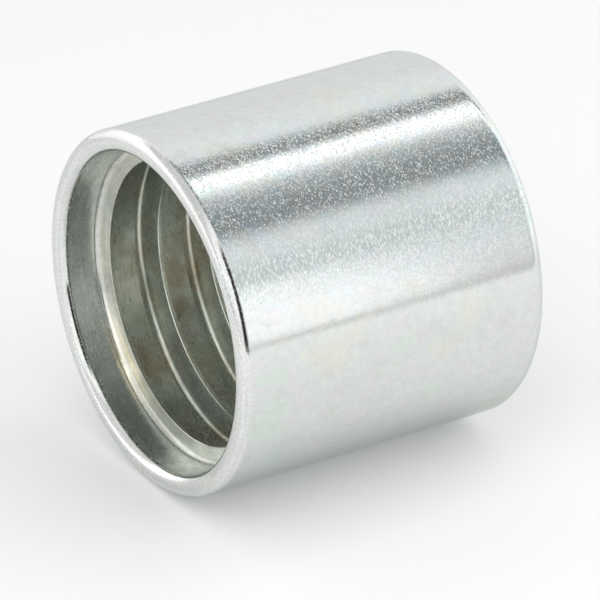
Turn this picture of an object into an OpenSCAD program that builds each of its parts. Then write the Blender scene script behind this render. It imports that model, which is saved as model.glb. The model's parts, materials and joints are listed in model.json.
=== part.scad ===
// Crimp hose ferrule: one turned steel sleeve that is squeezed over a hose and the tail of its fitting.
// The axis is +Z. The collar end stands on Z = 0 and the open end, where the hose goes in, faces up.

/* [Sleeve] */
// Length of the sleeve from end to end
sleeve_length = 29.1; // [16:0.1:60]
// Diameter of the plain bore at the open end
bore_d = 27.2; // [20:0.1:50]
// Thickness of the wall around the plain bore
wall = 1.9; // [1.2:0.1:4]

/* [Grip teeth] */
// Depth of the plain bore between the open end and the first tooth
entry_depth = 3.8; // [2.2:0.1:6]
// Axial length of the first tooth's front, which is nearly square
entry_ramp = 0.1; // [0.05:0.05:1]
// Radius at the foot of the first tooth's front
entry_foot_radius = 0.6; // [0.1:0.05:0.8]
// Distance from one tooth to the next
tooth_pitch = 4.7; // [2.5:0.1:8]
// Height of a tooth above the plain bore
tooth_height = 1.5; // [0.4:0.1:2]
// Depth of the grooves between the teeth, below the plain bore
groove_depth = 0.35; // [0:0.05:0.6]
// Axial length of the other teeth's sloping fronts, which face the open end
tooth_ramp = 0.75; // [0.3:0.05:1.2]
// Axial length of the narrow top of a tooth, with its broken edges
tooth_crest = 0.38; // [0.3:0.01:0.8]
// Axial length of the steep side that faces the collar
tooth_back = 0.15; // [0.05:0.05:0.4]
// Radius at the foot of a sloping front
tooth_foot_radius = 0.6; // [0.1:0.05:0.8]
// Width of the broken edges of a tooth's top
tooth_edge_break = 0.05; // [0.02:0.01:0.12]

/* [Collar] */
// Diameter of the hole through the collar
collar_hole_d = 19; // [12:0.1:20]
// Length of the collar along the axis
collar_length = 3.2; // [1.5:0.1:6]
// Radius on both edges of the collar's hole
collar_edge_radius = 0.5; // [0.1:0.05:0.7]
// Radius in the corner between the collar and the bore
collar_root_radius = 0.4; // [0.1:0.05:0.7]

/* [Edges] */
// Radius on the outer edge of the open end
mouth_outer_radius = 0.9; // [0.1:0.05:1]
// Radius on the inner edge of the open end
mouth_inner_radius = 0.8; // [0.1:0.05:1]
// Radius on the outer edge of the collar end
far_edge_radius = 1.3; // [0.2:0.1:2]

/* [Hidden] */
$fn = 96;

zinc_grey = [0.76, 0.77, 0.76];

// How far a cutting shape runs past the surface that it cuts
overrun = 0.5;
// How deep the root of a tooth is sunk in the wall behind the grooves, as a share of that wall
root_share = 0.5;

bore_r = bore_d / 2;
groove_r = bore_r + groove_depth;
outer_r = bore_r + wall;
collar_hole_r = collar_hole_d / 2;
tooth_root = groove_depth + (outer_r - groove_r) * root_share;

// Edge radii, held to a share of the metal that carries them. The open end is nearly a full round.
rim_share = 0.48;
edge_share = 0.3;
mouth_outer_edge = min(mouth_outer_radius, wall * rim_share);
mouth_inner_edge = min(mouth_inner_radius, wall * rim_share);
collar_lip = groove_r - collar_hole_r;
collar_edge = min(collar_edge_radius, collar_lip * edge_share, collar_length * edge_share);
collar_root = min(collar_root_radius, collar_lip * edge_share);
far_edge = min(far_edge_radius, (outer_r - collar_hole_r) * edge_share, collar_length * rim_share);

// Length of bore between the open end and the collar, and the teeth that it has room for
hose_depth = sleeve_length - collar_length;
first_crest = entry_depth + entry_ramp;
first_crest_z = sleeve_length - first_crest;
crest_length = tooth_crest + tooth_back;
tooth_count = floor((hose_depth - first_crest - crest_length - collar_root) / tooth_pitch) + 1;

// Foot radii, held to a share of the tooth that carries them
foot_share = 0.5;
entry_foot = min(entry_foot_radius, tooth_height * foot_share);
tooth_foot = min(tooth_foot_radius, tooth_height * foot_share);

// Waste that leaves a round edge when it is cut from a corner. into points from the corner into the metal.
module edge_waste(corner, radius, into) {
    low_x = into.x > 0 ? corner.x - overrun : corner.x - radius;
    low_y = into.y > 0 ? corner.y - overrun : corner.y - radius;
    difference() {
        translate([low_x, low_y])
            square(radius + overrun);
        translate(corner + radius * into)
            circle(radius);
    }
}

// Half section of the sleeve and its collar, without teeth
module blank_section() {
    difference() {
        translate([collar_hole_r, 0])
            square([outer_r - collar_hole_r, sleeve_length]);
        bore_section();
        edge_waste([outer_r, sleeve_length], mouth_outer_edge, [-1, -1]);
        edge_waste([bore_r, sleeve_length], mouth_inner_edge, [1, -1]);
        edge_waste([outer_r, 0], far_edge, [-1, 1]);
        edge_waste([collar_hole_r, 0], collar_edge, [1, 1]);
        edge_waste([collar_hole_r, collar_length], collar_edge, [1, -1]);
    }
}

// Half section of the bore, wider behind the first tooth, with a round corner at the collar
module bore_section() {
    root_z = collar_length + collar_root;
    translate([0, first_crest_z])
        square([bore_r, first_crest + overrun]);
    translate([0, root_z])
        square([groove_r, first_crest_z - root_z]);
    translate([0, collar_length])
        square([groove_r - collar_root, first_crest_z - collar_length]);
    translate([groove_r - collar_root, root_z])
        circle(collar_root);
}

// Half section of one tooth, measured from the plain bore and the front of the tooth's crest. ramp is the
// axial length of its front, and sunk is how far the foot of its front lies below the plain bore.
module tooth_section(ramp, sunk, foot_radius) {
    foot = [sunk, ramp];
    front_height = tooth_height + sunk;
    foot_angle = 90 + atan(ramp / front_height);
    foot_tangent = foot_radius / tan(foot_angle / 2);
    front_length = sqrt(pow(front_height, 2) + pow(ramp, 2));
    front_direction = [-front_height, -ramp] / front_length;
    difference() {
        polygon([
            [tooth_root, ramp + foot_tangent],
            foot + [0, foot_tangent],
            foot + foot_tangent * front_direction,
            foot + (front_length - tooth_edge_break) * front_direction,
            [-tooth_height, -tooth_edge_break],
            [-tooth_height, tooth_edge_break - tooth_crest],
            [tooth_edge_break - tooth_height, -tooth_crest],
            [groove_depth, -crest_length],
            [tooth_root, -crest_length]
        ]);
        translate(foot + [-foot_radius, foot_tangent])
            circle(foot_radius);
    }
}

module ferrule_section() {
    blank_section();
    for (i = [0 : tooth_count - 1])
        translate([bore_r, first_crest_z - i * tooth_pitch])
            if (i == 0)
                tooth_section(entry_ramp, 0, entry_foot);
            else
                tooth_section(tooth_ramp, groove_depth, tooth_foot);
}

module ferrule() {
    color(zinc_grey)
        rotate_extrude()
            ferrule_section();
}

ferrule();
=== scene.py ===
import json
import math

import bpy
from mathutils import Matrix, Vector


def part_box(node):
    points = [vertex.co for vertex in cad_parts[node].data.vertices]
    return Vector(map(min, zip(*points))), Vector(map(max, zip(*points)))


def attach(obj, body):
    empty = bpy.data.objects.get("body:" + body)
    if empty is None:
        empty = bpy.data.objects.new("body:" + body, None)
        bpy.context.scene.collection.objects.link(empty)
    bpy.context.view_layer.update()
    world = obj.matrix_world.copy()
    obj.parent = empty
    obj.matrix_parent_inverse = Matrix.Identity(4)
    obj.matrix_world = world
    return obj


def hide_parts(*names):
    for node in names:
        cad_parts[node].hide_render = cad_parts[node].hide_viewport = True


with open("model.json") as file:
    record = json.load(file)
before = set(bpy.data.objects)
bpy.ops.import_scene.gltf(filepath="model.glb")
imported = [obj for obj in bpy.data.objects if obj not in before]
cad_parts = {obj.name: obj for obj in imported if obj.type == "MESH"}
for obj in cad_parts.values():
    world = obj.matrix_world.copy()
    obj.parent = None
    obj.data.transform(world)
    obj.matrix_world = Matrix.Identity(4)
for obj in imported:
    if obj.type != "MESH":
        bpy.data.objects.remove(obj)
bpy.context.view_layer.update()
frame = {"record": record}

MM = 0.001
Z_AXIS = Vector((0, 0, 1))

# Sizes of the sleeve, from the frame
low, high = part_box("ferrule")
outer_r = (high.x - low.x) / 2
length = high.z - low.z
mounts = {mount["name"]: mount for mount in frame["record"]["mounts"]}


def mount_radius(name):
    return mounts[name]["dims"]["r_mm"] * MM


bore_r = mount_radius("hose_entry")
crest_r = mount_radius("grip_bore")
collar_r = mount_radius("collar_bore")

# Sizes that the frame doesn't state, the same as the solid's
GROOVE_DEPTH = 0.35 * MM
ENTRY_DEPTH = 3.8 * MM
ENTRY_RAMP = 0.1 * MM
ENTRY_FOOT_RADIUS = 0.6 * MM
TOOTH_COUNT = 5
TOOTH_PITCH = 4.7 * MM
TOOTH_RAMP = 0.75 * MM
TOOTH_CREST = 0.38 * MM
TOOTH_BACK = 0.15 * MM
TOOTH_FOOT_RADIUS = 0.6 * MM
TOOTH_EDGE_BREAK = 0.05 * MM
COLLAR_LENGTH = 3.2 * MM
COLLAR_EDGE_RADIUS = 0.5 * MM
COLLAR_ROOT_RADIUS = 0.4 * MM
MOUTH_OUTER_RADIUS = 0.9 * MM
MOUTH_INNER_RADIUS = 0.8 * MM
FAR_EDGE_RADIUS = 1.3 * MM
groove_r = bore_r + GROOVE_DEPTH
entry_foot_z = length - ENTRY_DEPTH
first_crest_z = length - ENTRY_DEPTH - ENTRY_RAMP

# How finely the turned surface is divided
SEGMENTS = 224
ARC_STEP_DEG = 7.5
SUPPORT = 0.04 * MM
LONG_STRETCH = 6 * SUPPORT
SHARP_ANGLE_DEG = 28

# How the sleeve lies in the photograph: the floor touches its side, and UP is away from that floor
UP = Vector((1, -1, 0)).normalized()
SIDE = UP.cross(Z_AXIS)
INWARD = -Z_AXIS

# Camera: pitch below level, heading from the sleeve's axis, and lens
CAMERA_PITCH_DEG = 27.74
CAMERA_HEADING_DEG = 57.94
CAMERA_LENS_MM = 419.6
CAMERA_SENSOR_MM = 36
# Where the open end's centre falls in view, in outer radii: right, down and away
MOUTH_IN_VIEW = Vector((-0.8157, 0.0825, 36.6254))

# Floor and background
FLOOR_R = 190 * MM
FLOOR_SIDES = 96
FLOOR_COLOUR = (0.66, 0.663, 0.66)
FLOOR_GLOW = 0.17
BACKGROUND = (0.905, 0.91, 0.907)

# Light around the sleeve: degrees from UP towards SIDE, and brightness there
STUDIO_BANDS = [
    (-180, 0.84), (-118, 0.84), (-103, 1.05), (-88, 1.04), (-70, 1.01), (-33, 0.97),
    (-26, 0.30), (-18, 0.21), (-13, 2.2), (-9, 1.7), (1, 0.60), (9, 0.40),
    (16, 0.30), (26, 0.31), (34, 0.92), (41, 0.99), (50, 0.86), (58, 0.85),
    (90, 0.83), (94, 0.71), (101, 0.70), (105, 0.80), (110, 0.82), (180, 0.82),
]
# Tint of the dim band that the sleeve's upper side mirrors, and its side: from, to and soft edge
BAND_TINT = (0.92, 1.0, 1.05)
BAND_TINT_SIDE = (5, 30, 6)
# Light in front of the open end: its bands, and where it begins and is full along Z
FRONT_BANDS = [
    (-180, 0.85), (-113, 0.88), (-107, 1.6), (-60, 1.6), (-48, 0.80),
    (6, 0.78), (22, 1.2), (95, 1.25), (110, 0.9), (180, 0.85),
]
FRONT_REACH = (-0.25, 0.10)
# How that light fades towards the floor, by height
FRONT_FADE_HEIGHT = (0.0, 0.25)
FRONT_FADE = (0.75, 1.0)
# Light behind the collar end
FAR_REACH = (-0.80, -0.88)
FAR_LEVEL = 1.25
# Dim gaps between the lights: level, then reach along Z and around the sleeve, with soft edges
GAPS = [(0.04, (-0.05, 0.50, 0.05), (33, 97, 6)), (0.30, (-0.30, 0.0, 0.05), (-30, 26, 6))]
# A softbox beside the sleeve, and a key light for the floor, which the metal doesn't mirror
SOFTBOX_LEVEL = 0.46
SOFTBOX_TINT = (1.0, 0.96, 0.97)
SOFTBOX_PLACE = Z_AXIS * (length - 67 * MM) + UP * 40 * MM + SIDE * 150 * MM
SOFTBOX_SIZE = (56 * MM, 92 * MM)
KEY_LEVEL = 1.05
KEY_TINT = (1, 1, 1)
KEY_DIRECTION = (UP * 1.8 + SIDE + INWARD * 0.1).normalized()
KEY_PLACE = Z_AXIS * length / 2 + KEY_DIRECTION * 250 * MM
KEY_SIZE = (700 * MM, 350 * MM)

# Finishes, as slots of the sleeve
OUTSIDE, BORE = 0, 1

# The range that most of a noise falls in
NOISE_RANGE = (0.3, 0.7)

# Sides of the sleeve: from, to and soft edge, in degrees around it from UP towards SIDE
SMOOTH_SIDES = [(-62, 8, 8), (68, 152, 8)]
# Side where larger crystal cells are painted white as glints, on a darker ground
CRYSTAL_GLINT_SIDE = (49, 62, 5)
# Painted shade on the bore's upper side
BORE_SHADE_SIDE = (-70, 70, 20)
# Painted shade in the teeth's feet, on this side only
FOOT_SHADE_SIDE = (-123, -105, 7)
# Stretches of the entry: a painted highlight on the shoulder, painted shade on the wall, and a gold tint
# at the foot; for each its middle, and how far from it they are full and gone, in the same degrees
SHOULDER_HIGHLIGHT = (-133, 12, 28)
ENTRY_SHADE = (-163, 12, 34)
GOLD_FOOT = (-138, 5, 19)

# Plating outside: tints by the level of a noise, then single colours and how far they cover
EVEN_TINTS = [
    (0.35, (0.69, 0.75, 0.71)), (0.45, (0.73, 0.73, 0.73)),
    (0.55, (0.70, 0.745, 0.74)), (0.65, (0.735, 0.738, 0.69)),
]
SHEEN_TINTS = [
    (0.32, (0.71, 0.83, 0.78)), (0.42, (0.79, 0.79, 0.83)), (0.5, (0.73, 0.83, 0.84)),
    (0.58, (0.81, 0.82, 0.77)), (0.68, (0.74, 0.80, 0.85)),
]
SMUDGE_COLOUR = (0.60, 0.62, 0.58)
SMUDGE_LEVELS = (0.53, 0.68)
SMUDGE_COVER = 0.4
RIM_COLOUR = (0.84, 0.845, 0.825)
RIM_COVER = 0.75
EDGE_TINT = (0.78, 0.80, 0.79)
# Grain: how rare the bright facets are, their colour, which paints these real grains white as glints, and
# the roughness that they add
GLINT_RARITY = 4.5
GLINT_COLOUR = (0.95, 0.98, 0.96)
GLINT_ROUGHNESS = 0.5
BORE_GLINT_ROUGHNESS = 0.08
# How much the facets' own colours tint the metal
GRAIN_TINT = 0.025
BORE_GRAIN_TINT = 0.02
# How much grain is left on the smooth sides and the rim, and of the bright facets on the rim
SMOOTH_GRAIN = 0.35
RIM_GLINT = 0.4
# How far the tool's marks are drawn out around the axis
TOOL_MARK_STRETCH = 30.0
# Larger crystal cells, painted white as glints on one side: size, how far from its middle one is full and
# gone, and the draws for none and all
CRYSTAL_SIZE = 0.12 * MM
CRYSTAL_EDGE = (0.35, 0.6)
CRYSTAL_CHANCE = (0.3, 0.5)
# A darker ground that they lie on, painted to set the glints off
GLINT_GROUND = (0.53, 0.62, 0.61)
GLINT_GROUND_COVER = 0.8
# Scratches: degrees around the sleeve, depth from the open end, length and slant
SCRATCHES = [
    (22, 12.0 * MM, 1.6 * MM, 62), (50, 10.5 * MM, 2.4 * MM, 80), (34, 17.0 * MM, 1.2 * MM, 40),
    (76, 8.0 * MM, 1.8 * MM, 70), (104, 15.0 * MM, 2.6 * MM, 84), (-4, 8.5 * MM, 1.4 * MM, 55),
    (190, 12.0 * MM, 2.2 * MM, 66), (250, 19.0 * MM, 1.8 * MM, 75), (300, 9.0 * MM, 2.0 * MM, 50),
]
# How far a scratch reaches from its middle line, the share that is full, and the roughness it adds
SCRATCH_REACH = 0.07 * MM
SCRATCH_CORE = 0.3
SCRATCH_ROUGHNESS = 0.35

# Plating in the bore: tints by the level of a noise, then single colours and how far they cover
GROOVE_TINTS = [(0.3, (0.71, 0.69, 0.56)), (0.5, (0.72, 0.76, 0.65)), (0.7, (0.74, 0.79, 0.71))]
SHOULDER_TINTS = [(0.35, (0.62, 0.60, 0.52)), (0.65, (0.57, 0.59, 0.54))]
ENTRY_TINTS = [(0.3, (0.88, 0.91, 0.88)), (0.7, (0.87, 0.93, 0.94))]
# Painted highlight on one stretch of the shoulder, and painted shade on one stretch of the entry's wall
SHOULDER_HIGHLIGHT_COLOUR = (0.98, 0.95, 0.84)
ENTRY_SHADE_COLOUR = (0.56, 0.62, 0.59)
GOLD_COLOUR = (1.0, 0.95, 0.76)
GOLD_REACH = (0.3 * ENTRY_FOOT_RADIUS, 1.4 * ENTRY_FOOT_RADIUS)
GOLD_SOFT = 0.15 * MM
# Painted shade: how far the first groove's colour is darkened
FIRST_GROOVE_SHADE = 0.9
TOOTH_FRONT_COLOUR = (0.56, 0.61, 0.59)
# Painted shade in the teeth's feet: its colour, how far it covers, and how far past the foot it reaches
# and how soft its edge is, in pitches
FOOT_SHADE_COLOUR = (0.20, 0.21, 0.17)
FOOT_SHADE_COVER = 0.75
FOOT_SHADE_PAST_FOOT = 0.05
FOOT_SHADE_SOFT = 0.01
CLEAN_COLOUR = (0.93, 0.95, 0.93)
CLEAN_COVER = 0.7
# Painted shade on the bore's upper side: its colour and how far it covers
BORE_SHADE_COLOUR = (0.36, 0.39, 0.34)
BORE_SHADE_COVER = 0.7
# Stains in the grooves: degrees around the sleeve, depth from the open end, and reach
STAINS = [
    (-110, 10.8 * MM, 2.0 * MM), (-123, 10.2 * MM, 1.6 * MM), (-137, 5.8 * MM, 1.9 * MM),
    (58, 6.4 * MM, 2.4 * MM), (160, 10.2 * MM, 2.6 * MM),
]
# How ragged their edges are and where they are full and gone, in reaches, then their colour and cover
STAIN_RAGGED = 0.7
STAIN_EDGE = (0.3, 1.2)
BLOT_LEVELS = (0.50, 0.68)
STAIN_COLOUR = (0.48, 0.39, 0.27)
STAIN_COVER = 0.75
STAIN_COVER_IN_FRONT = 0.1
STAIN_PAST_THIRD = 0.2


def arc(centre, radius, start_deg, end_deg):
    """Points along an arc of the section, ends included."""
    steps = max(2, math.ceil(abs(end_deg - start_deg) / ARC_STEP_DEG))
    points = []
    for i in range(steps + 1):
        angle = math.radians(start_deg + (end_deg - start_deg) * i / steps)
        points.append((centre[0] + radius * math.cos(angle), centre[1] + radius * math.sin(angle)))
    return points


def tooth(crest_z, foot_r, ramp, foot_radius):
    """Section of one tooth, from its foot to the groove behind it. crest_z is the front of its crest."""
    height = foot_r - crest_r
    front = math.hypot(height, ramp)
    tilt = math.degrees(math.atan2(ramp, height))
    tangent = foot_radius / math.tan(math.radians(90 + tilt) / 2)
    foot_z = crest_z + ramp
    edge_share = 1 - TOOTH_EDGE_BREAK / front
    back_z = crest_z - TOOTH_CREST
    return arc((foot_r - foot_radius, foot_z + tangent), foot_radius, 0, tilt - 90) + [
        (foot_r - height * edge_share, foot_z - ramp * edge_share),
        (crest_r, crest_z - TOOTH_EDGE_BREAK),
        (crest_r, back_z + TOOTH_EDGE_BREAK),
        (crest_r + TOOTH_EDGE_BREAK, back_z),
        (groove_r, back_z - TOOTH_BACK),
    ]


def outside_section():
    """Section of the outside, from the far end over the rim to the entry's wall."""
    far_centre = (outer_r - FAR_EDGE_RADIUS, FAR_EDGE_RADIUS)
    rim_centre = (outer_r - MOUTH_OUTER_RADIUS, length - MOUTH_OUTER_RADIUS)
    mouth_centre = (bore_r + MOUTH_INNER_RADIUS, length - MOUTH_INNER_RADIUS)
    points = arc(far_centre, FAR_EDGE_RADIUS, -90, 0)
    points += arc(rim_centre, MOUTH_OUTER_RADIUS, 0, 90)
    points += arc(mouth_centre, MOUTH_INNER_RADIUS, 90, 180)
    return points


def bore_section():
    """Section of the bore, from the first tooth to the edge of the collar's hole."""
    points = tooth(first_crest_z, bore_r, ENTRY_RAMP, ENTRY_FOOT_RADIUS)
    for i in range(1, TOOTH_COUNT):
        points += tooth(first_crest_z - i * TOOTH_PITCH, groove_r, TOOTH_RAMP, TOOTH_FOOT_RADIUS)
    root_centre = (groove_r - COLLAR_ROOT_RADIUS, COLLAR_LENGTH + COLLAR_ROOT_RADIUS)
    points += arc(root_centre, COLLAR_ROOT_RADIUS, 0, -90)
    edge_centre_r = collar_r + COLLAR_EDGE_RADIUS
    points += arc((edge_centre_r, COLLAR_LENGTH - COLLAR_EDGE_RADIUS), COLLAR_EDGE_RADIUS, 90, 180)
    points += arc((edge_centre_r, COLLAR_EDGE_RADIUS), COLLAR_EDGE_RADIUS, 180, 270)
    return points


def section():
    """Closed section as (radius, height) points, and the finish of the stretch after each point."""
    outside = outside_section()
    bore = bore_section()
    # The last stretch runs across the collar end's flat face, back to the first point
    finishes = [OUTSIDE] * (len(outside) - 1) + [BORE] * len(bore) + [OUTSIDE]
    return outside + bore, finishes


def with_supports(points, finishes):
    """Adds a point near both ends of each long straight stretch, so that the shading there stays flat."""
    dense, dense_finishes = [], []
    for i, point in enumerate(points):
        a, b = Vector(point), Vector(points[(i + 1) % len(points)])
        stretch = [a]
        if (b - a).length > LONG_STRETCH:
            step = (b - a).normalized() * SUPPORT
            stretch += [a + step, b - step]
        dense += stretch
        dense_finishes += [finishes[i]] * len(stretch)
    return dense, dense_finishes


def turned_mesh(name, points, finishes):
    """A closed mesh from a section turned about Z."""
    verts, faces, slots = [], [], []
    count = len(points)
    for k in range(SEGMENTS):
        angle = 2 * math.pi * k / SEGMENTS
        verts += [(p.x * math.cos(angle), p.x * math.sin(angle), p.y) for p in points]
    for k in range(SEGMENTS):
        here, there = k * count, (k + 1) % SEGMENTS * count
        for i in range(count):
            j = (i + 1) % count
            faces.append((here + i, there + i, there + j, here + j))
            slots.append(finishes[i])
    mesh = bpy.data.meshes.new(name)
    mesh.from_pydata(verts, [], faces)
    mesh.polygons.foreach_set("material_index", slots)
    mesh.shade_smooth()
    mesh.set_sharp_from_angle(angle=math.radians(SHARP_ANGLE_DEG))
    mesh.validate()
    return mesh


def grey(level):
    return (level, level, level)


class Nodes:
    """Short forms for building a node tree. Colours are given without alpha."""

    def __init__(self, tree):
        self.tree = tree
        tree.nodes.clear()

    def add(self, kind, inputs=None, **settings):
        node = self.tree.nodes.new(kind)
        for key, value in settings.items():
            setattr(node, key, value)
        for key, value in (inputs or {}).items():
            self.put(node.inputs[key], value)
        return node

    def put(self, socket, value):
        if isinstance(value, bpy.types.NodeSocket):
            self.tree.links.new(value, socket)
        elif socket.type == "RGBA":
            socket.default_value = (*value, 1)
        else:
            socket.default_value = value

    def place(self):
        """Place on the object, in metres in its own frame."""
        return self.add("ShaderNodeTexCoord").outputs["Object"]

    def math(self, operation, a, b=0.0, c=0.0):
        return self.add("ShaderNodeMath", {0: a, 1: b, 2: c}, operation=operation).outputs[0]

    def times(self, a, b):
        return self.math("MULTIPLY", a, b)

    def without(self, value, mask):
        """The value where a mask is 0, and 0 where it is 1."""
        return self.times(value, self.math("SUBTRACT", 1.0, mask))

    def vector_math(self, operation, a, b):
        return self.add("ShaderNodeVectorMath", {0: a, 1: b}, operation=operation)

    def dot(self, vector, direction):
        return self.vector_math("DOT_PRODUCT", vector, direction).outputs["Value"]

    def noise(self, place, scale, detail, roughness):
        inputs = {"Vector": place, "Scale": scale, "Detail": detail, "Roughness": roughness}
        return self.add("ShaderNodeTexNoise", inputs).outputs["Fac"]

    def mottle(self, place, scale, detail, roughness, low, high):
        """A noise that varies from low to high."""
        return self.span(self.noise(place, scale, detail, roughness), *NOISE_RANGE, low, high)

    def span(self, value, from_low, from_high, to_low, to_high):
        inputs = {0: value, 1: from_low, 2: from_high, 3: to_low, 4: to_high}
        return self.add("ShaderNodeMapRange", inputs).outputs[0]

    def between(self, mask, off, on):
        """A number that is off where a mask is 0, and on where it is 1."""
        return self.span(mask, 0.0, 1.0, off, on)

    def window(self, value, low, high, soft):
        """1 between low and high, 0 outside, with soft edges."""
        rise = self.span(value, low - soft, low + soft, 0.0, 1.0)
        fall = self.span(value, high - soft, high + soft, 1.0, 0.0)
        return self.times(rise, fall)

    def ramp(self, value, stops):
        node = self.add("ShaderNodeValToRGB", {"Fac": value})
        elements = node.color_ramp.elements
        while len(elements) > 1:
            elements.remove(elements[-1])
        elements[0].position, elements[0].color = stops[0][0], (*stops[0][1], 1)
        for position, colour in stops[1:]:
            elements.new(position).color = (*colour, 1)
        return node.outputs["Color"]

    def bands(self, degrees, levels):
        """Grey levels by an angle from -180 to 180 degrees."""
        stops = [((angle + 180) / 360, grey(level)) for angle, level in levels]
        return self.ramp(self.span(degrees, -180.0, 180.0, 0.0, 1.0), stops)

    def mix(self, factor, a, b, blend="MIX"):
        node = self.add("ShaderNodeMix", data_type="RGBA", blend_type=blend)
        self.put(node.inputs["Factor"], factor)
        self.put(node.inputs["A"], a)
        self.put(node.inputs["B"], b)
        return node.outputs["Result"]

    def tinted(self, colour, tint):
        """A colour multiplied by a tint or a number."""
        return self.mix(1.0, colour, tint, blend="MULTIPLY")

    def surface(self, inputs):
        """Makes a principled shader the surface."""
        shader = self.add("ShaderNodeBsdfPrincipled", inputs)
        self.add("ShaderNodeOutputMaterial", {"Surface": shader.outputs[0]})


def new_material(name):
    material = bpy.data.materials.new(name)
    material.use_nodes = True
    return material, Nodes(material.node_tree)


def way_around(degrees):
    """Direction out from the axis at an angle from UP towards SIDE."""
    angle = math.radians(degrees)
    return math.sin(angle) * SIDE + math.cos(angle) * UP


def height_along(n, place):
    """Height along the sleeve's axis."""
    return n.add("ShaderNodeSeparateXYZ", {0: place}).outputs["Z"]


def angle_around(n, place):
    """Angle around the sleeve from UP towards SIDE, in radians."""
    return n.math("ARCTAN2", n.dot(place, SIDE), n.dot(place, UP))


def turned_place(n, stretch):
    """Place as around the axis, along it and out from it. Marks are drawn out around by stretch."""
    x, y, z = n.add("ShaderNodeSeparateXYZ", {0: n.place()}).outputs
    around = n.times(n.math("ARCTAN2", y, x), outer_r / stretch)
    radius = n.math("SQRT", n.math("MULTIPLY_ADD", x, x, n.times(y, y)))
    return n.add("ShaderNodeCombineXYZ", {0: around, 1: z, 2: radius}).outputs[0]


def facing(n, place, degrees, full, none):
    """1 on the bore's wall at an angle around the sleeve, 0 from none degrees away."""
    share = n.dot(place, way_around(degrees) / bore_r)
    return n.span(share, math.cos(math.radians(none)), math.cos(math.radians(full)), 0.0, 1.0)


def facets(n, place, cell, tilt, glint, strength=1.0):
    """A grain of small facets, most tilted a little and a few more.

    Gives each facet's normal, how rare it is from 0 to 1, and a colour of its own.
    """
    cells = n.add("ShaderNodeTexVoronoi", {"Vector": place, "Scale": 1 / cell})
    chance = n.add("ShaderNodeTexWhiteNoise", {"Vector": cells.outputs["Position"]})
    rare = n.math("POWER", chance.outputs["Value"], GLINT_RARITY)
    reach = n.times(n.between(rare, tilt, glint), strength)
    centred = n.vector_math("SUBTRACT", chance.outputs["Color"], grey(0.5))
    scale_inputs = {0: centred.outputs[0], "Scale": reach}
    offset = n.add("ShaderNodeVectorMath", scale_inputs, operation="SCALE")
    smooth = n.add("ShaderNodeNewGeometry").outputs["Normal"]
    total = n.vector_math("ADD", smooth, offset.outputs[0])
    normal = n.add("ShaderNodeVectorMath", {0: total.outputs[0]}, operation="NORMALIZE")
    return normal.outputs[0], rare, cells.outputs["Color"]


def crystal_glints(n, place):
    """1 on some of the larger crystal cells, which get painted white as glints."""
    cells = n.add("ShaderNodeTexVoronoi", {"Vector": place, "Scale": 1 / CRYSTAL_SIZE})
    chance = n.add("ShaderNodeTexWhiteNoise", {"Vector": cells.outputs["Position"]})
    core = n.span(cells.outputs["Distance"], *CRYSTAL_EDGE, 1.0, 0.0)
    return n.times(core, n.span(chance.outputs["Value"], *CRYSTAL_CHANCE, 0.0, 1.0))


def scratch_mask(n, place):
    """1 along a few fine scratches on the outside."""
    across = n.times(angle_around(n, place), outer_r)
    flat = n.add("ShaderNodeCombineXYZ", {0: across, 1: height_along(n, place)}).outputs[0]
    total = 0.0
    for degrees, depth, size, slant in SCRATCHES:
        centre = (math.radians(degrees) * outer_r, length - depth, 0)
        inputs = {"Vector": flat, "Location": centre, "Rotation": (0, 0, math.radians(slant))}
        local = n.add("ShaderNodeMapping", inputs, vector_type="TEXTURE").outputs[0]
        x, y, _ = n.add("ShaderNodeSeparateXYZ", {0: local}).outputs
        near = n.span(n.math("ABSOLUTE", y), SCRATCH_CORE * SCRATCH_REACH, SCRATCH_REACH, 1.0, 0.0)
        within = n.span(n.math("ABSOLUTE", x), SCRATCH_CORE * size, size / 2, 1.0, 0.0)
        total = n.math("MULTIPLY_ADD", near, within, total)
    return n.math("MINIMUM", total, 1.0)


def stain_mask(n, place):
    """1 in a few ragged stains in the grooves."""
    noise = n.noise(place, scale=900, detail=5.0, roughness=0.75)
    ragged = n.span(noise, *NOISE_RANGE, -STAIN_RAGGED, STAIN_RAGGED)
    total = 0.0
    for degrees, depth, reach in STAINS:
        centre = way_around(degrees) * groove_r + Z_AXIS * (length - depth)
        distance = n.vector_math("DISTANCE", place, centre).outputs["Value"]
        edge = n.math("MULTIPLY_ADD", distance, 1 / reach, ragged)
        total = n.math("MAXIMUM", total, n.span(edge, *STAIN_EDGE, 1.0, 0.0))
    return total


def smooth_sides(n, around):
    """1 on the sides where the grain is fine."""
    total = 0.0
    for side in SMOOTH_SIDES:
        total = n.math("MAXIMUM", total, n.window(around, *side))
    return total


def sheen_colour(n, place, smooth):
    """Faint colours of the plating, with a fine mottle and small smudges."""
    cloud = n.noise(place, scale=170, detail=3.0, roughness=0.6)
    colour = n.mix(smooth, n.ramp(cloud, SHEEN_TINTS), n.ramp(cloud, EVEN_TINTS))
    mottle = n.mottle(place, scale=1500, detail=4.0, roughness=0.8, low=0.93, high=1.05)
    smudge = n.noise(place, scale=420, detail=5.0, roughness=0.75)
    cover = n.span(smudge, *SMUDGE_LEVELS, 0.0, SMUDGE_COVER)
    return n.mix(cover, n.tinted(colour, mottle), SMUDGE_COLOUR)


def rim_colour(n, place):
    """Frosted metal with tool marks that run around."""
    turned = turned_place(n, TOOL_MARK_STRETCH)
    marks = n.mottle(turned, scale=4200, detail=2.0, roughness=0.6, low=0.86, high=1.08)
    frost = n.mottle(place, scale=5200, detail=2.0, roughness=0.6, low=0.80, high=1.10)
    return n.tinted(RIM_COLOUR, n.times(marks, frost))


def outside_roughness(n, place, on_rim):
    """Satin, smoother on the rim and rough along the scratches."""
    rough = n.mottle(place, scale=420, detail=2.0, roughness=0.5, low=0.11, high=0.15)
    rough = n.times(rough, n.between(on_rim, off=1.0, on=0.7))
    return n.math("MULTIPLY_ADD", scratch_mask(n, place), SCRATCH_ROUGHNESS, rough)


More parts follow.
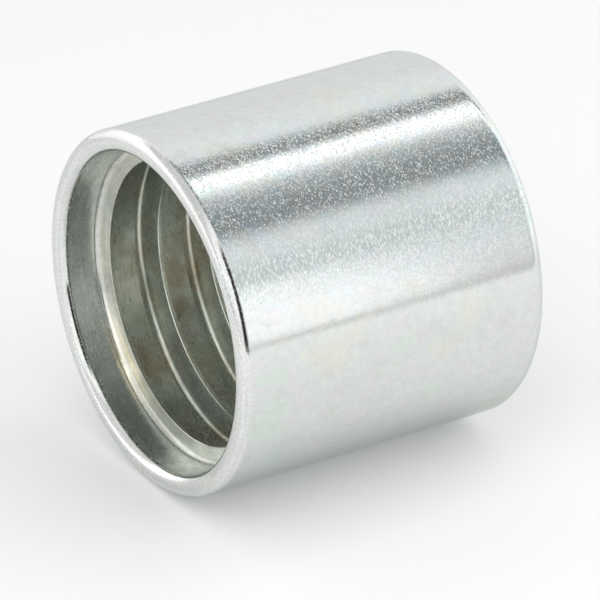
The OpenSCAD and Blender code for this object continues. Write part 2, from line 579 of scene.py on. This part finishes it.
def zinc_outside():
    """Bright zinc plating on turned steel: a fine sparkling grain, partly painted white as glints, with a
    faint colour sheen.
    """
    material, n = new_material("zinc_outside")
    place = n.place()
    around = n.math("DEGREES", angle_around(n, place))
    rim_z = length - MOUTH_OUTER_RADIUS
    on_rim = n.span(height_along(n, place), rim_z, rim_z + 0.4 * MOUTH_OUTER_RADIUS, 0.0, 1.0)
    on_smooth_side = smooth_sides(n, around)
    smooth = n.math("MAXIMUM", on_rim, on_smooth_side)
    grain = n.between(smooth, off=1.0, on=SMOOTH_GRAIN)
    normal, rare, grain_colour = facets(
        n, turned_place(n, stretch=1.6), cell=0.09 * MM, tilt=0.04, glint=0.09, strength=grain)
    rare = n.without(rare, on_smooth_side)
    rare = n.times(rare, n.between(on_rim, off=1.0, on=RIM_GLINT))
    glint_stripe = n.window(around, *CRYSTAL_GLINT_SIDE)
    bright = n.times(glint_stripe, crystal_glints(n, turned_place(n, stretch=3.0)))
    colour = sheen_colour(n, place, smooth)
    colour = n.mix(n.times(glint_stripe, GLINT_GROUND_COVER), colour, GLINT_GROUND)
    colour = n.mix(n.times(on_rim, RIM_COVER), colour, rim_colour(n, place))
    colour = n.mix(n.times(grain, GRAIN_TINT), colour, grain_colour)
    # Painted glints: rare facets, and the crystal cells on one side, are made near white
    colour = n.mix(n.math("MAXIMUM", rare, bright), colour, GLINT_COLOUR)
    rough = n.math("MULTIPLY_ADD", rare, GLINT_ROUGHNESS, outside_roughness(n, place, on_rim))
    n.surface({"Base Color": colour, "Metallic": 1.0, "Roughness": rough, "Normal": normal,
               "Specular Tint": EDGE_TINT})
    return material


def entry_colour(n, place, height, cloud):
    """The entry's wall with painted shade on one stretch, the shoulder at its end with a painted
    highlight on one stretch, and a gold tint in the radius between them.
    """
    shoulder = n.ramp(cloud, SHOULDER_TINTS)
    # Painted highlight on one stretch of the shoulder
    shoulder = n.mix(facing(n, place, *SHOULDER_HIGHLIGHT), shoulder, SHOULDER_HIGHLIGHT_COLOUR)
    wall = n.ramp(cloud, ENTRY_TINTS)
    # Painted shade on one stretch of the entry's wall
    wall = n.mix(facing(n, place, *ENTRY_SHADE), wall, ENTRY_SHADE_COLOUR)
    on_wall = n.span(height, entry_foot_z, entry_foot_z + ENTRY_FOOT_RADIUS, 0.0, 1.0)
    gold_low, gold_high = (entry_foot_z + reach for reach in GOLD_REACH)
    at_foot = n.window(height, gold_low, gold_high, GOLD_SOFT)
    gold = n.times(at_foot, facing(n, place, *GOLD_FOOT))
    return n.mix(gold, n.mix(on_wall, shoulder, wall), GOLD_COLOUR)


def groove_colour(n, around, teeth_down, past_third, cloud):
    """The grooves and the teeth, with painted shade in the teeth's feet on one side, a first groove
    painted darker, and cleaner metal deep inside.
    """
    groove = n.ramp(cloud, GROOVE_TINTS)
    # Painted shade: the first groove is darker
    in_first = n.math("LESS_THAN", teeth_down, 1.0)
    groove = n.mix(in_first, groove, grey(FIRST_GROOVE_SHADE), blend="MULTIPLY")
    share = n.math("FRACT", teeth_down)
    front_share = 1 - TOOTH_RAMP / TOOTH_PITCH
    colour = n.mix(n.math("GREATER_THAN", share, front_share), groove, TOOTH_FRONT_COLOUR)
    foot_share = front_share - TOOTH_FOOT_RADIUS / TOOTH_PITCH
    in_foot = n.window(share, foot_share, front_share + FOOT_SHADE_PAST_FOOT, FOOT_SHADE_SOFT)
    # Painted shade in the teeth's feet on one side
    foot_shade = n.times(in_foot, n.window(around, *FOOT_SHADE_SIDE))
    colour = n.mix(n.times(foot_shade, FOOT_SHADE_COVER), colour, FOOT_SHADE_COLOUR)
    return n.mix(n.times(past_third, CLEAN_COVER), colour, CLEAN_COLOUR)


def stain_cover(n, place, in_front, past_third):
    """How far the stains cover: weak in the entry and behind the third tooth."""
    noise = n.noise(place, scale=210, detail=4.0, roughness=0.65)
    blot = n.span(noise, *BLOT_LEVELS, 0.0, 1.0)
    stain = n.math("MAXIMUM", blot, stain_mask(n, place))
    stain = n.times(stain, n.between(in_front, off=STAIN_COVER, on=STAIN_COVER_IN_FRONT))
    return n.times(stain, n.between(past_third, off=1.0, on=STAIN_PAST_THIRD))


def zinc_bore():
    """Thinner, duller plating inside, drawn out around the axis by the boring tool, stained deeper in."""
    material, n = new_material("zinc_bore")
    place = n.place()
    height = height_along(n, place)
    around = n.math("DEGREES", angle_around(n, place))
    # Distance below the first crest, in pitches
    teeth_down = n.math("DIVIDE", n.math("SUBTRACT", first_crest_z, height), TOOTH_PITCH)
    in_front = n.math("GREATER_THAN", height, first_crest_z - TOOTH_CREST / 2)
    past_third = n.math("GREATER_THAN", teeth_down, 2 + TOOTH_CREST / TOOTH_PITCH)
    cloud = n.noise(place, scale=220, detail=3.0, roughness=0.6)
    deep = groove_colour(n, around, teeth_down, past_third, cloud)
    colour = n.mix(in_front, deep, entry_colour(n, place, height, cloud))
    colour = n.mix(stain_cover(n, place, in_front, past_third), colour, STAIN_COLOUR)
    # Painted shade: the bore's upper side is darker, except in the entry
    shaded_top = n.times(n.window(around, *BORE_SHADE_SIDE), BORE_SHADE_COVER)
    colour = n.mix(n.without(shaded_top, in_front), colour, BORE_SHADE_COLOUR)
    turned = turned_place(n, TOOL_MARK_STRETCH)
    marks = n.mottle(turned, scale=5200, detail=2.0, roughness=0.6, low=0.90, high=1.07)
    mottle = n.mottle(place, scale=800, detail=4.0, roughness=0.65, low=0.86, high=1.10)
    colour = n.tinted(n.tinted(colour, marks), mottle)
    normal, rare, grain_colour = facets(
        n, turned_place(n, stretch=5.0), cell=0.10 * MM, tilt=0.02, glint=0.07)
    colour = n.mix(BORE_GRAIN_TINT, colour, grain_colour)
    rough = n.mottle(place, scale=420, detail=2.0, roughness=0.5, low=0.18, high=0.27)
    rough = n.math("MULTIPLY_ADD", rare, BORE_GLINT_ROUGHNESS, rough)
    n.surface({"Base Color": colour, "Metallic": 0.90, "Roughness": rough, "Normal": normal})
    return material


def floor_material():
    """Pale matt floor with a faint glow of its own, that shows only from above."""
    material, n = new_material("pale_floor")
    shader = n.add("ShaderNodeBsdfPrincipled",
                   {"Base Color": FLOOR_COLOUR, "Roughness": 0.9, "Specular IOR Level": 0.0,
                    "Emission Color": grey(1), "Emission Strength": FLOOR_GLOW})
    clear = n.add("ShaderNodeBsdfTransparent")
    below = n.add("ShaderNodeNewGeometry").outputs["Backfacing"]
    mixed = n.add("ShaderNodeMixShader", {0: below, 1: shader.outputs[0], 2: clear.outputs[0]})
    n.add("ShaderNodeOutputMaterial", {"Surface": mixed.outputs[0]})
    return material


def make_sleeve():
    mesh = turned_mesh("ferrule_turned", *with_supports(*section()))
    mesh.materials.append(zinc_outside())
    mesh.materials.append(zinc_bore())
    sleeve = bpy.data.objects.new("ferrule_turned", mesh)
    bpy.context.scene.collection.objects.link(sleeve)
    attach(sleeve, "root")
    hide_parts("ferrule")


def make_floor():
    centre = Z_AXIS * length / 2 - UP * outer_r
    ring = []
    for k in range(FLOOR_SIDES):
        angle = 2 * math.pi * k / FLOOR_SIDES
        ring.append(centre + FLOOR_R * (math.cos(angle) * SIDE + math.sin(angle) * INWARD))
    mesh = bpy.data.meshes.new("floor")
    mesh.from_pydata(ring, [], [tuple(range(FLOOR_SIDES))])
    if mesh.polygons[0].normal.dot(UP) < 0:
        mesh.flip_normals()
    mesh.materials.append(floor_material())
    floor = bpy.data.objects.new("floor", mesh)
    bpy.context.scene.collection.objects.link(floor)


def studio_light(n, direction):
    """Brightness by direction: bands around the sleeve, other light at its ends, and dim gaps."""
    along = n.dot(direction, Z_AXIS)
    height = n.dot(direction, UP)
    angle = n.math("DEGREES", angle_around(n, direction))
    light = n.bands(angle, STUDIO_BANDS)
    light = n.mix(n.window(angle, *BAND_TINT_SIDE), light, n.tinted(light, BAND_TINT))
    fade = n.span(height, *FRONT_FADE_HEIGHT, *FRONT_FADE)
    front = n.tinted(n.bands(angle, FRONT_BANDS), fade)
    light = n.mix(n.span(along, *FRONT_REACH, 0.0, 1.0), light, front)
    light = n.mix(n.span(along, *FAR_REACH, 0.0, 1.0), light, grey(FAR_LEVEL))
    for level, reach, reach_around in GAPS:
        gap = n.times(n.window(along, *reach), n.window(angle, *reach_around))
        light = n.mix(gap, light, grey(level))
    return light


def make_world():
    """Soft studio light around the sleeve. The camera itself sees a plain pale background."""
    world = bpy.data.worlds.new("studio")
    bpy.context.scene.world = world
    world.use_nodes = True
    n = Nodes(world.node_tree)
    light = studio_light(n, n.add("ShaderNodeTexCoord").outputs["Generated"])
    seen = n.add("ShaderNodeLightPath").outputs["Is Camera Ray"]
    colour = n.mix(seen, light, BACKGROUND)
    background = n.add("ShaderNodeBackground", {"Color": colour, "Strength": 1.0})
    n.add("ShaderNodeOutputWorld", {"Surface": background.outputs[0]})


def make_panel(name, level, tint, size, place, facing_from, mirrored):
    """A rectangular light of an even brightness. facing_from is the way to it from what it lights."""
    across = facing_from.cross(INWARD).normalized()
    axes = (across.cross(facing_from), across, facing_from)
    data = bpy.data.lights.new(name, "AREA")
    data.shape = "RECTANGLE"
    data.size, data.size_y = size
    data.energy = level * math.pi * data.size * data.size_y
    data.color = tint
    panel = bpy.data.objects.new(name, data)
    panel.matrix_world = Matrix.Translation(place) @ Matrix(axes).transposed().to_4x4()
    panel.visible_camera = False
    panel.visible_glossy = mirrored
    bpy.context.scene.collection.objects.link(panel)


def make_camera():
    pitch = math.radians(CAMERA_PITCH_DEG)
    heading = math.radians(CAMERA_HEADING_DEG)
    right = math.sin(heading) * INWARD + math.cos(heading) * SIDE
    level = math.cos(heading) * INWARD - math.sin(heading) * SIDE
    forward = math.cos(pitch) * level - math.sin(pitch) * UP
    down = forward.cross(right)
    offset = (MOUTH_IN_VIEW.x * right + MOUTH_IN_VIEW.y * down + MOUTH_IN_VIEW.z * forward) * outer_r
    data = bpy.data.cameras.new("camera")
    data.lens = CAMERA_LENS_MM
    data.sensor_width = CAMERA_SENSOR_MM
    camera = bpy.data.objects.new("camera", data)
    turn = Matrix((right, -down, -forward)).transposed().to_4x4()
    camera.matrix_world = Matrix.Translation(Z_AXIS * length - offset) @ turn
    bpy.context.scene.collection.objects.link(camera)
    bpy.context.scene.camera = camera


make_camera()
make_sleeve()
make_floor()
make_world()
make_panel("softbox", SOFTBOX_LEVEL, SOFTBOX_TINT, SOFTBOX_SIZE, SOFTBOX_PLACE, SIDE, mirrored=True)
make_panel("key", KEY_LEVEL, KEY_TINT, KEY_SIZE, KEY_PLACE, KEY_DIRECTION, mirrored=False)
bpy.context.scene.view_settings.view_transform = "Standard"
